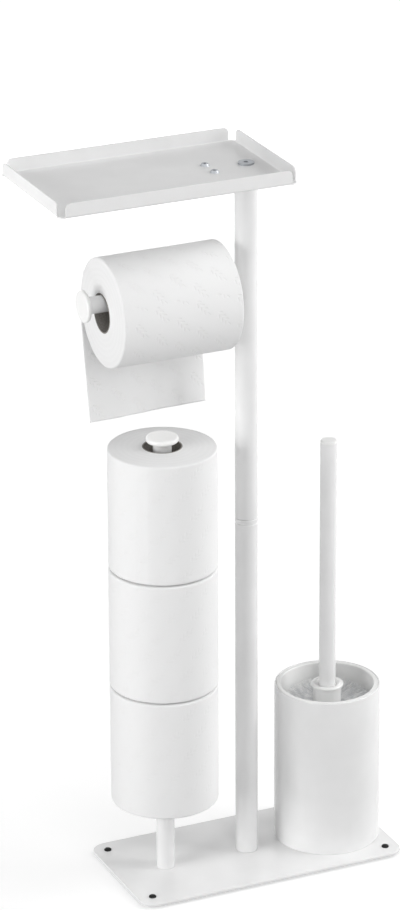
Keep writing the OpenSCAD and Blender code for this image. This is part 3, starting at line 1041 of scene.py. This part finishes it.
@dataclass
class Tray(Assembly):
    """Tray folded from one sheet, with four upturned edges that stop short of its corners."""

    left: float = -163.5
    length: float = 218.0
    depth: float = 130.0
    underside: float = 655.0
    sheet: float = 1.5
    rim: float = 0.35
    flange: float = 13.2
    bend: float = 2.5
    bend_steps: int = 6
    notch: float = 6.0
    notch_steps: int = 6
    flange_corner: float = 5.0
    bracket_size: Place = (62.0, 36.0, 3.0)
    bracket_x: float = 21.0
    bracket_corner: float = 4.0
    bracket_rim: float = 0.5

    def outline(self) -> list[Point]:
        """Work out the floor's outline: straight fold lines between round corner tabs.

        Returns:
            Corners in mm, from the front right tab and anticlockwise.
        """
        half_x, half_y = self.length / 2, self.depth / 2
        points: list[Point] = []
        for quarter in range(4):
            ux, uy = (half_x, half_y) if quarter % 2 == 0 else (half_y, half_x)
            middle_x, middle_y = ux - self.notch, -uy + self.notch
            tab = [(middle_x, -uy + self.bend)]
            for step in range(self.notch_steps + 1):
                turn = math.radians(-90 + 90 // self.notch_steps * step)
                tab.append(
                    (middle_x + self.notch * math.cos(turn), middle_y + self.notch * math.sin(turn))
                )
            tab.append((ux - self.bend, middle_y))
            spin = Matrix.Rotation(quarter * math.pi / 2, 2)
            points += [tuple(spin @ Vector(p)) for p in tab]
        return points

    def raise_edge(self, bm: BMesh, edge: bmesh.types.BMEdge) -> list[bmesh.types.BMVert]:
        """Fold up one straight side of the floor.

        Args:
            bm: Mesh of the tray's underside.
            edge: Fold line.

        Returns:
            The two top corners of the new upturned edge.
        """
        middle = (edge.verts[0].co + edge.verts[1].co) / 2
        along = (edge.verts[1].co - edge.verts[0].co).normalized()
        outwards = along.cross(Vector((0, 0, 1)))
        if outwards.dot(middle) < 0:
            outwards.negate()
        folded = bmesh.ops.spin(
            bm,
            geom=list(edge.verts) + [edge],
            cent=middle + Vector((0, 0, self.bend * MM)),
            axis=outwards.cross(Vector((0, 0, 1))),
            angle=math.pi / 2,
            steps=self.bend_steps,
        )
        last = [g for g in folded["geom_last"] if isinstance(g, bmesh.types.BMEdge)]
        risen = bmesh.ops.extrude_edge_only(bm, edges=last)
        top = [g for g in risen["geom"] if isinstance(g, bmesh.types.BMVert)]
        bmesh.ops.translate(bm, vec=(0, 0, (self.flange - self.bend) * MM), verts=top)
        return top

    def fold(self) -> None:
        """Fold the tray: floor, four bends and four edges, then the sheet's thickness."""
        bm = bmesh.new()
        bm.faces.new([bm.verts.new((x * MM, y * MM, 0)) for x, y in self.outline()])
        bm.edges.ensure_lookup_table()
        folds = sorted(bm.edges, key=lambda e: -e.calc_length())[:4]
        tops = [v for edge in folds for v in self.raise_edge(bm, edge)]
        bmesh.ops.bevel(
            bm,
            geom=tops,
            offset=self.flange_corner * MM,
            segments=6,
            profile=0.5,
            affect="VERTICES",
            material=-1,
        )
        bmesh.ops.recalc_face_normals(bm, faces=bm.faces)
        floor = max(bm.faces, key=lambda f: f.calc_area())
        if floor.normal.z < 0:
            bmesh.ops.reverse_faces(bm, faces=bm.faces)
        bmesh.ops.solidify(bm, geom=bm.faces, thickness=-self.sheet * MM)
        bmesh.ops.recalc_face_normals(bm, faces=bm.faces)
        soften(bm, self.rim, 2)
        place(bm, (self.left + self.length / 2, 0, self.underside))
        finish_piece("tray_sheet", bm, self.wardrobe.dress(Slot.COAT, "tray"))

    def bracket(self) -> None:
        """Build the flat bracket that carries the tray on the pole."""
        bm = block(self.bracket_size, self.underside - self.bracket_size[2], self.bracket_corner)
        soften(bm, self.bracket_rim)
        place(bm, (self.bracket_x, 0, 0))
        finish_piece("tray_support", bm, self.wardrobe.dress(Slot.COAT, "tray_bracket"))


@dataclass
class BrushCup(Assembly):
    """Coated steel cup with a plastic liner whose rim fills its mouth."""

    x: float = CUP_X
    deck: float = DECK
    radius: float = 47.5
    height: float = 150.0
    wall: float = 1.5
    shell_rim: float = 0.6
    liner_edge: float = 0.3
    liner_rim: float = 45.82
    rim_height: float = 3.5
    rim_slope: float = 1.9
    rim_chamfer: float = 0.35
    liner_bore: float = 41.8
    liner_wall: float = 2.0
    liner_floor: float = 21.0
    lip_curve: tuple[Point, ...] = ((1.0, 0), (0.5, -0.15), (0.15, -0.5), (0, -1.0))
    floor_curve: tuple[Point, ...] = ((0, 6), (-0.8, 3), (-3, 0.8), (-6, 0))

    def shell(self) -> None:
        """Build the outer cup."""
        top = self.deck + self.height
        inner = self.radius - self.wall
        bm = lathe(
            [
                (0, self.deck),
                (self.radius, self.deck),
                (self.radius, top),
                (inner, top),
                (inner, self.deck + self.wall),
                (0, self.deck + self.wall),
            ],
            steps=WIDE_ROUND_STEPS,
        )
        soften(bm, self.shell_rim)
        place(bm, (self.x, 0, 0))
        finish_piece("cup_outer", bm, self.wardrobe.dress(Slot.COAT, "cup_shell"))

    def liner(self) -> None:
        """Build the liner, which stands on the cup's floor and lifts out."""
        top = self.deck + self.height
        foot = self.deck + self.wall
        below = self.liner_floor - self.liner_wall
        outer = self.liner_bore + self.liner_wall
        profile = [
            (0, below),
            (self.liner_bore, below),
            (self.liner_bore, foot),
            (outer, foot),
            (outer, top - self.rim_height - self.rim_slope),
            (self.liner_rim, top - self.rim_height),
            (self.liner_rim, top - self.rim_chamfer),
            (self.liner_rim - self.rim_chamfer, top),
        ]
        profile += shifted((self.liner_bore, top), self.lip_curve)
        profile += shifted((self.liner_bore, self.liner_floor), self.floor_curve)
        bm = lathe(profile + [(0, self.liner_floor)], steps=WIDE_ROUND_STEPS)
        soften(bm, self.liner_edge, 2)
        place(bm, (self.x, 0, 0))
        finish_piece("cup_inner", bm, self.wardrobe.dress(Slot.PLASTIC, "cup_liner", Body.LINER))


@dataclass
class Brush(Assembly):
    """Toilet brush: tube handle, moulded head with a collar, and nylon bristles."""

    x: float = CUP_X
    handle_radius: float = 7.5
    handle_wall: float = 1.0
    handle_rim: float = 0.3
    handle_low: float = 142.3
    handle_top: float = 390.3
    plug_stem: float = 10.0
    plug_height: float = 2.5
    plug_curve: tuple[Point, ...] = (
        (1, 0),
        (1, 0.42),
        (0.985, 0.66),
        (0.93, 0.85),
        (0.84, 0.94),
        (0.5, 0.985),
        (0, 1),
    )
    lip_radius: float = 14.6
    lip_low: float = 152.3
    lip_top: float = 155.3
    neck_radius: float = 12.5
    neck_low: float = 137.3
    mouth_radius: float = 10.5
    core_radius: float = 6.0
    tip_radius: float = 9.0
    tip_low: float = 21.3
    sleeve_steps: int = 48
    sleeve_fit: float = 0.1
    sleeve_seat: float = 0.7
    bristle_low: float = 34.0
    bristle_high: float = 136.9
    bristle_margin: float = 2.0
    bristle_reach: float = 38.0
    bristle_rows: int = 66
    bristles_in_row: int = 60
    bristle_width: float = 0.45
    bristle_taper: float = 0.6
    bristle_root: float = 1.0
    bristle_stiff: float = 2.0
    uneven: float = 0.8
    top_slant: float = 17.0
    low_slant: float = 36.0
    tip_gap: float = 3.5
    ruffles: tuple[Point, ...] = ((220, 1.5), (95, 2.2))
    ruffle_seed: int = 11

    def handle(self) -> None:
        """Build the handle's tube and the domed plug that closes it."""
        seam = self.handle_top - self.plug_height
        bore = self.handle_radius - self.handle_wall
        tube = ring(bore, self.handle_radius, self.handle_low, seam)
        soften(tube, self.handle_rim, 2)
        place(tube, (self.x, 0, 0))
        finish_piece("handle_tube", tube, self.wardrobe.dress(Slot.COAT, "brush_handle", Body.BRUSH))
        stem = bore - FIT
        profile = [(0, seam - self.plug_stem), (stem, seam - self.plug_stem), (stem, seam)]
        plug = lathe(profile + dome(self.handle_radius, seam, self.plug_height, self.plug_curve))
        place(plug, (self.x, 0, 0))
        finish_piece("handle_cap", plug, self.wardrobe.dress(Slot.PLASTIC, "handle_top_plug", Body.BRUSH))

    def head(self) -> None:
        """Build the head: round tip, core, neck and the collar with its open mouth."""
        tip_middle = self.tip_low + self.tip_radius
        profile = [
            (
                self.tip_radius * math.sin(math.radians(a)),
                tip_middle - self.tip_radius * math.cos(math.radians(a)),
            )
            for a in range(0, 91, 10)
        ]
        step = self.bristle_low - self.sleeve_seat
        profile += [(self.tip_radius, step), (self.core_radius, step), (self.core_radius, self.neck_low)]
        for corner, offsets in (
            ((self.neck_radius, self.neck_low), ((-1.2, 0), (-0.35, 0.35), (0, 1.2))),
            ((self.neck_radius, self.lip_low), ((0, -0.8), (0.5, 0))),
            ((self.lip_radius, self.lip_low), ((-0.9, 0), (-0.25, 0.4), (0, 1.2))),
            ((self.lip_radius, self.lip_top), ((-0.1, -1.0), (-0.7, -0.25), (-1.5, 0))),
            ((self.mouth_radius, self.lip_top), ((1.3, 0), (0.4, -0.4), (0, -1.2))),
            ((self.handle_radius, self.lip_low), ((0.6, 0), (FIT, -0.6))),
        ):
            profile += shifted(corner, offsets)
        bm = lathe(profile + [(self.handle_radius + FIT, self.handle_low), (0, self.handle_low)])
        place(bm, (self.x, 0, 0))
        dress = self.wardrobe.dress(Slot.PLASTIC, "brush_head", Body.BRUSH)
        finish_piece("brush_head_moulding", bm, dress)

    def slant(self, share: float) -> float:
        """Angle of a row above the level, in radians, for its share of the height."""
        return math.radians(self.top_slant * share**4 - self.low_slant * (1 - share) ** 3)

    def row(self, number: int) -> BMesh:
        """Build one row of bristles, all alike, in a ring round the core.

        Args:
            number: Row, counted from the lowest.

        Returns:
            The row, centred on the Z axis.
        """
        share = number / (self.bristle_rows - 1)
        span = self.bristle_high - self.bristle_low - 2 * self.bristle_margin
        low = self.bristle_low + self.bristle_margin + share * span
        slant = self.slant(share)
        reach = (self.bristle_reach - self.tip_radius) / math.cos(slant) - self.uneven * (number % 3)
        if slant < 0:
            reach = min(reach, (low - self.tip_low - self.tip_gap) / math.sin(-slant))
        bm = bmesh.new()
        bmesh.ops.create_cone(
            bm,
            cap_ends=True,
            segments=3,
            radius1=self.bristle_width * MM,
            radius2=self.bristle_width * self.bristle_taper * MM,
            depth=(reach + self.bristle_root) * MM,
        )
        shafts = [e for e in bm.edges if e.calc_length() > reach / 2 * MM]
        bmesh.ops.subdivide_edges(bm, edges=shafts, cuts=2)
        turned = Matrix.Rotation(math.pi / 2 - slant, 4, "Y")
        bmesh.ops.translate(bm, vec=(0, 0, (reach / 2 - self.bristle_root / 2) * MM), verts=bm.verts)
        bmesh.ops.transform(bm, matrix=turned, verts=bm.verts)
        bmesh.ops.translate(bm, vec=(self.tip_radius * MM, 0, low * MM), verts=bm.verts)
        turn = Matrix.Rotation(number * GOLDEN_TURN, 4, "Z")
        bmesh.ops.transform(bm, matrix=turn, verts=bm.verts)
        bmesh.ops.spin(
            bm,
            geom=bm.verts[:] + bm.edges[:] + bm.faces[:],
            cent=(0, 0, 0),
            axis=(0, 0, 1),
            angle=math.tau * (1 - 1 / self.bristles_in_row),
            steps=self.bristles_in_row - 1,
            use_duplicate=True,
        )
        return bm

    def bristles(self) -> None:
        """Build the bristles and the sleeve that they grow from, then ruffle them a little."""
        bore = self.core_radius + self.sleeve_fit
        sleeve = ring(bore, self.tip_radius, self.bristle_low, self.bristle_high, self.sleeve_steps)
        bm = join([sleeve] + [self.row(n) for n in range(self.bristle_rows)])
        noise.seed_set(self.ruffle_seed)
        (fine, small), (coarse, large) = self.ruffles
        for vert in bm.verts:
            radial = math.hypot(vert.co.x, vert.co.y) / MM
            free = max(0.0, radial - self.tip_radius - self.bristle_stiff)
            loose = free / (self.bristle_reach - self.tip_radius)
            sway = noise.noise_vector(vert.co * fine) * small + noise.noise_vector(vert.co * coarse) * large
            vert.co += sway * loose * MM
        place(bm, (self.x, 0, 0))
        dress = self.wardrobe.dress(Slot.BRISTLE, "brush_bristles", Body.BRUSH)
        finish_piece("nylon_bristles", bm, dress, False)


def unit_noise(seed: Vector) -> float:
    """Smooth noise from 0 to 1 at a point."""
    return 0.5 + 0.5 * noise.noise(seed)


@dataclass
class PaperRoll(Assembly):
    """One roll of embossed tissue on its board core."""

    name: str
    node: str
    body: Body
    at: Place
    upright: Upright
    twist: float
    radius: float = 48.25
    bore: float = 17.55
    width: float = ROLL_WIDTH
    edge: float = 1.5
    layer: float = 0.35
    dish: float = 0.75
    firm: float = 1.0
    side_dent: Point = (28, 0.35)
    end_dent: Point = (90, 0.25)
    steps: int = 144
    rows: int = 28
    rings: int = 7

    def wind(self) -> BMesh:
        """Turn the roll, with the small step of its last layer and the dents of soft paper.

        Returns:
            The roll, standing on z = 0 round the Z axis.
        """
        span = self.radius - self.bore
        side = [(self.radius, self.width * i / self.rows) for i in range(self.rows + 1)]
        foot = [(self.bore + span * i / self.rings, 0.0) for i in range(self.rings)]
        head = [(r, self.width) for r, z in reversed(foot)]
        bm = lathe(foot + side + head, closed=True, steps=self.steps)
        soften(bm, self.edge, 4, beyond(self.radius - RIM_REACH))
        side_scale, side_depth = self.side_dent
        end_scale, end_depth = self.end_dent
        for vert in bm.verts:
            radial = math.hypot(vert.co.x, vert.co.y)
            share = max(0.0, radial / MM - self.bore - self.firm) / span
            turn = (math.atan2(vert.co.y, vert.co.x) % math.tau) / math.tau
            seed = vert.co * side_scale + Vector((self.twist * 7, 0, 0))
            inwards = (self.layer * turn + side_depth * unit_noise(seed)) * share * MM
            vert.co.x *= 1 - inwards / max(radial, MM)
            vert.co.y *= 1 - inwards / max(radial, MM)
            height = vert.co.z / MM
            end = min(height, self.width - height)
            if end < self.edge + 0.05:
                dent = end_depth * unit_noise(vert.co * end_scale + Vector((0, self.twist, 0)))
                sunk = (dent + self.dish * share**4) * MM
                vert.co.z += sunk if height < self.width / 2 else -sunk
        return bm

    def wrap(self, bm: BMesh) -> None:
        """Lay the paper's own measure over the roll and mark its ends for their own finish.

        Args:
            bm: The roll, standing round the Z axis.
        """
        wrap = bm.loops.layers.uv.new("wrap")
        for face in bm.faces:
            middle = face.calc_center_median()
            start = math.atan2(middle.y, middle.x)
            flat = abs(face.normal.z) > 0.75
            face.material_index = 1 if flat else 0
            for loop in face.loops:
                co = loop.vert.co
                turn = math.atan2(co.y, co.x)
                turn += math.tau * round((start - turn) / math.tau)
                across = math.hypot(co.x, co.y) if flat else co.z
                loop[wrap].uv = ((turn + self.twist) * self.radius * MM, across + self.twist * 0.01)

    def build(self) -> None:
        """Build the roll in its place."""
        bm = self.wind()
        self.wrap(bm)
        twist = Matrix.Rotation(self.twist, 3, "Z")
        bmesh.ops.rotate(bm, cent=(0, 0, 0), matrix=twist, verts=bm.verts)
        place(bm, self.at, self.upright)
        in_use = self.body is Body.ARM_ROLL
        paper = self.wardrobe.by_slot[Slot.TISSUE] if in_use else self.wardrobe.stored_tissue
        dress = Dress(self.body, Slot.TISSUE, (paper, self.wardrobe.tissue_edge), (self.node,))
        finish_piece(self.name, bm, dress, False)


@dataclass
class LooseSheet(Assembly):
    """The roll's first sheet: it leaves the back of the roll and hangs, leaning in a little."""

    left: float = ROLL_IN_USE_LEFT
    width: float = ROLL_WIDTH
    axis_height: float = ROLL_IN_USE_HEIGHT
    radius: float = 48.7
    wrap: float = 5.0
    lean: float = 9.0
    straight: float = 104.0
    thickness: float = 0.3
    twist: float = 3.6
    twist_growth: float = 1.6
    wave: float = 0.5
    wave_growth: float = 1.3
    wave_turns: Point = (0.085, 0.02)
    ripple: float = 0.2
    ripple_turn: float = 0.21
    teeth_mm: float = 2.0
    tooth: float = 0.45
    rows: int = 64
    crumpled: float = 0.44

    def on_roll(self) -> float:
        """Length of the part that still lies on the roll, in mm."""
        return self.radius * math.radians(self.wrap + self.lean)

    def bend(self, across: float, along: float) -> Vector:
        """Find a point of the hanging sheet.

        Args:
            across: Distance from the sheet's left edge, in mm.
            along: Distance from its top, in mm.

        Returns:
            The point, in metres.
        """
        arc = self.on_roll()
        angle = math.radians(self.wrap) - min(along, arc) / self.radius
        y, z = self.radius * math.cos(angle), self.radius * math.sin(angle)
        free = max(0.0, along - arc)
        lean = math.radians(self.lean)
        y -= free * math.sin(lean)
        z -= free * math.cos(lean)
        share = free / self.straight
        side = across / self.width * 2 - 1
        wave_across, wave_along = self.wave_turns
        y += share**self.twist_growth * self.twist * side
        wave = share**self.wave_growth * self.wave * math.sin(across * wave_across + along * wave_along)
        y += wave + self.ripple * share * math.sin(across * self.ripple_turn)
        return Vector((self.left + across, y, self.axis_height + z)) * MM

    def build(self) -> None:
        columns = int(self.width / self.teeth_mm * 2)
        length = self.straight + self.on_roll()
        bm = bmesh.new()
        bmesh.ops.create_grid(bm, x_segments=columns, y_segments=self.rows, size=0.5)
        wrap = bm.loops.layers.uv.new("wrap")
        flat = {v: ((v.co.x + 0.5) * self.width, (0.5 - v.co.y) * length) for v in bm.verts}
        for face in bm.faces:
            for loop in face.loops:
                across, along = flat[loop.vert]
                loop[wrap].uv = (along * MM, across * MM)
        for vert, (across, along) in flat.items():
            torn = along > length - 0.01 and round(across / self.width * columns) % 2
            vert.co = self.bend(across, along - (self.tooth if torn else 0.0))
        bmesh.ops.recalc_face_normals(bm, faces=bm.faces)
        dress = self.wardrobe.dress(Slot.TISSUE, "hanging_sheet", Body.SHEET)
        piece = finish_piece("loose_sheet", bm, dress, False)
        wall = piece.modifiers.new("ply", "SOLIDIFY")
        wall.thickness = self.thickness * MM
        wall.offset = 0.0
        tuple(self.bend(0, 0))
        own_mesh(piece)


@dataclass(frozen=True)
class Softbox:
    """Large soft lamp that looks at the holder; its angles are in degrees, its sizes in metres."""

    name: str
    azimuth: float
    elevation: float
    distance: float
    size: Point
    power: float

    def build(self, middle: Vector) -> None:
        """Put the lamp in its place.

        Args:
            middle: Point that it looks at, in metres.
        """
        lamp = bpy.data.lights.new(self.name, "AREA")
        lamp.shape = "RECTANGLE"
        lamp.size, lamp.size_y = self.size
        lamp.energy = self.power
        stand = bpy.data.objects.new(self.name, lamp)
        turn, rise = math.radians(self.azimuth), math.radians(self.elevation)
        flat = math.cos(rise)
        away = Vector((math.cos(turn) * flat, math.sin(turn) * flat, math.sin(rise)))
        stand.location = middle + away * self.distance
        stand.rotation_euler = (-away).to_track_quat("-Z", "Y").to_euler()
        bpy.context.scene.collection.objects.link(stand)
        log.info("lamp %s at azimuth %.0f", self.name, self.azimuth)


@dataclass
class Studio:
    """Plain pale floor, soft lamps and the camera."""

    eye: Place = (-1489.24, -3279.94, 1857.01)
    target: Place = (44.58, 0.0, 387.62)
    lens: float = 177.08
    sensor: float = 36.0
    shift: float = -0.0612
    sight: float = 60.0
    ambient: float = 0.23
    floor_size: float = 24.0
    floor_tint: str = "C4C4C4"
    floor_glow: Point = (0.575, 0.955)
    glow_reach: Point = (0.2, 4.2)
    look_at: Place = (0.02, 0.0, 0.33)
    lamps: tuple[Softbox, ...] = (
        Softbox("left_bank", -170, 12, 2.6, (1.6, 1.6), 45),
        Softbox("right_bank", -15, 34, 2.6, (2.2, 1.6), 36),
        Softbox("right_low", -35, 10, 2.6, (1.0, 1.4), 19),
        Softbox("front_fill", -101, 30, 1.5, (0.7, 0.6), 2.6),
        Softbox("back_fill", 80, 2, 2.6, (1.6, 0.7), 13),
        Softbox("front_key", -103, 55, 3.0, (1.2, 1.2), 6),
    )

    def camera(self) -> None:
        """Make the camera at the photograph's viewing angle."""
        data = bpy.data.cameras.new("view")
        data.lens = self.lens
        data.sensor_width = self.sensor
        data.sensor_fit = "AUTO"
        data.shift_x = self.shift
        data.clip_end = self.sight
        eye = bpy.data.objects.new("view", data)
        eye.location = Vector(self.eye) * MM
        ahead = (Vector(self.target) - Vector(self.eye)) * MM
        eye.rotation_euler = ahead.to_track_quat("-Z", "Y").to_euler()
        bpy.context.scene.collection.objects.link(eye)
        bpy.context.scene.camera = eye

    def seen(self, tree: Tree) -> Socket:
        """Tell rays that show the background, straight or mirrored, from those that light.

        Args:
            tree: Node tree that gets the nodes.

        Returns:
            1 for a ray that shows and 0 for one that lights.
        """
        path = add_node(tree, "LightPath").outputs
        bent = {0: path["Is Glossy Ray"], 1: path["Is Transmission Ray"]}
        mirrored = add_node(tree, "Math", bent, operation="MAXIMUM").outputs[0]
        straight = {0: path["Is Camera Ray"], 1: mirrored}
        return add_node(tree, "Math", straight, operation="MAXIMUM").outputs[0]

    def world(self) -> None:
        """Make a soft pale surrounding that looks white."""
        world = bpy.data.worlds.new("surrounding")
        world.use_nodes = True
        tree = world.node_tree
        tree.nodes.clear()
        dimming = {"Value": self.seen(tree), "To Min": self.ambient, "To Max": 1.0}
        strength = add_node(tree, "MapRange", dimming).outputs["Result"]
        back = add_node(tree, "Background", {"Color": WHITE, "Strength": strength})
        add_node(tree, "OutputWorld", {"Surface": back.outputs[0]})
        bpy.context.scene.world = world

    def floor(self) -> None:
        """Make the floor, which looks white and keeps the holder's shadow."""
        bm = bmesh.new()
        bmesh.ops.create_grid(bm, x_segments=1, y_segments=1, size=self.floor_size / 2)
        mesh = bpy.data.meshes.new("floor")
        bm.to_mesh(mesh)
        bm.free()
        material = new_material("floor_pale")
        tree = material.node_tree
        matt = add_node(tree, "BsdfDiffuse", {"Color": linear(self.floor_tint)})
        spot = add_node(tree, "TexCoord").outputs["Object"]
        away = add_node(tree, "VectorMath", {0: spot}, operation="LENGTH").outputs["Value"]
        near, far = self.glow_reach
        low, high = self.floor_glow
        brighter = {"Value": away, "From Min": near, "From Max": far, "To Min": low, "To Max": high}
        glow = add_node(tree, "MapRange", brighter).outputs["Result"]
        shown = add_node(tree, "Math", {0: self.seen(tree), 1: glow}, operation="MULTIPLY").outputs[0]
        lit = add_node(tree, "Emission", {"Color": WHITE, "Strength": shown})
        both = add_node(tree, "AddShader", {0: matt.outputs[0], 1: lit.outputs[0]})
        mesh.materials.append(close_material(material, both))
        ground = bpy.data.objects.new("floor", mesh)
        bpy.context.scene.collection.objects.link(ground)

    def build(self) -> None:
        """Set up the camera, the surroundings, the floor and the lamps."""
        bpy.context.scene.view_settings.view_transform = "Standard"
        self.camera()
        self.world()
        self.floor()
        for lamp in self.lamps:
            lamp.build(Vector(self.look_at))


def build_rolls(wardrobe: Wardrobe) -> None:
    """Build the three stored rolls, the roll in use and its loose sheet.

    Args:
        wardrobe: Finishes of the holder.
    """
    spares = (
        ("lower_roll", "lower_spare_paper", Body.LOWER_SPARE, 0.4),
        ("middle_roll", "middle_spare_paper", Body.MIDDLE_SPARE, 2.1),
        ("upper_roll", "upper_spare_paper", Body.UPPER_SPARE, 4.0),
    )
    low = StoragePost.stop_top + ROLL_GAP
    for name, node, body, twist in spares:
        PaperRoll(wardrobe, name, node, body, (POST_X, 0, low), Upright.UP, twist).build()
        low += ROLL_WIDTH + ROLL_GAP
    end = (ROLL_IN_USE_LEFT, 0, ROLL_IN_USE_HEIGHT)
    PaperRoll(
        wardrobe, "roll_in_use", "arm_roll_paper", Body.ARM_ROLL, end, Upright.RIGHT, 1.2
    ).build()
    LooseSheet(wardrobe).build()


def main() -> None:
    """Build the studio and every piece of the holder in order."""
    logging.basicConfig(level=logging.INFO, format="%(message)s")
    Studio().build()
    wardrobe = Wardrobe.build()
    wardrobe.dress_nodes()
    base = Base(wardrobe)
    base.plate()
    base.feet()
    Pole(wardrobe).build()
    StoragePost(wardrobe).build()
    RollArm(wardrobe).build()
    tray = Tray(wardrobe)
    tray.fold()
    tray.bracket()
    cup = BrushCup(wardrobe)
    cup.shell()
    cup.liner()
    brush = Brush(wardrobe)
    brush.handle()
    brush.head()
    brush.bristles()
    build_rolls(wardrobe)


if __name__ == "__main__":
    main()
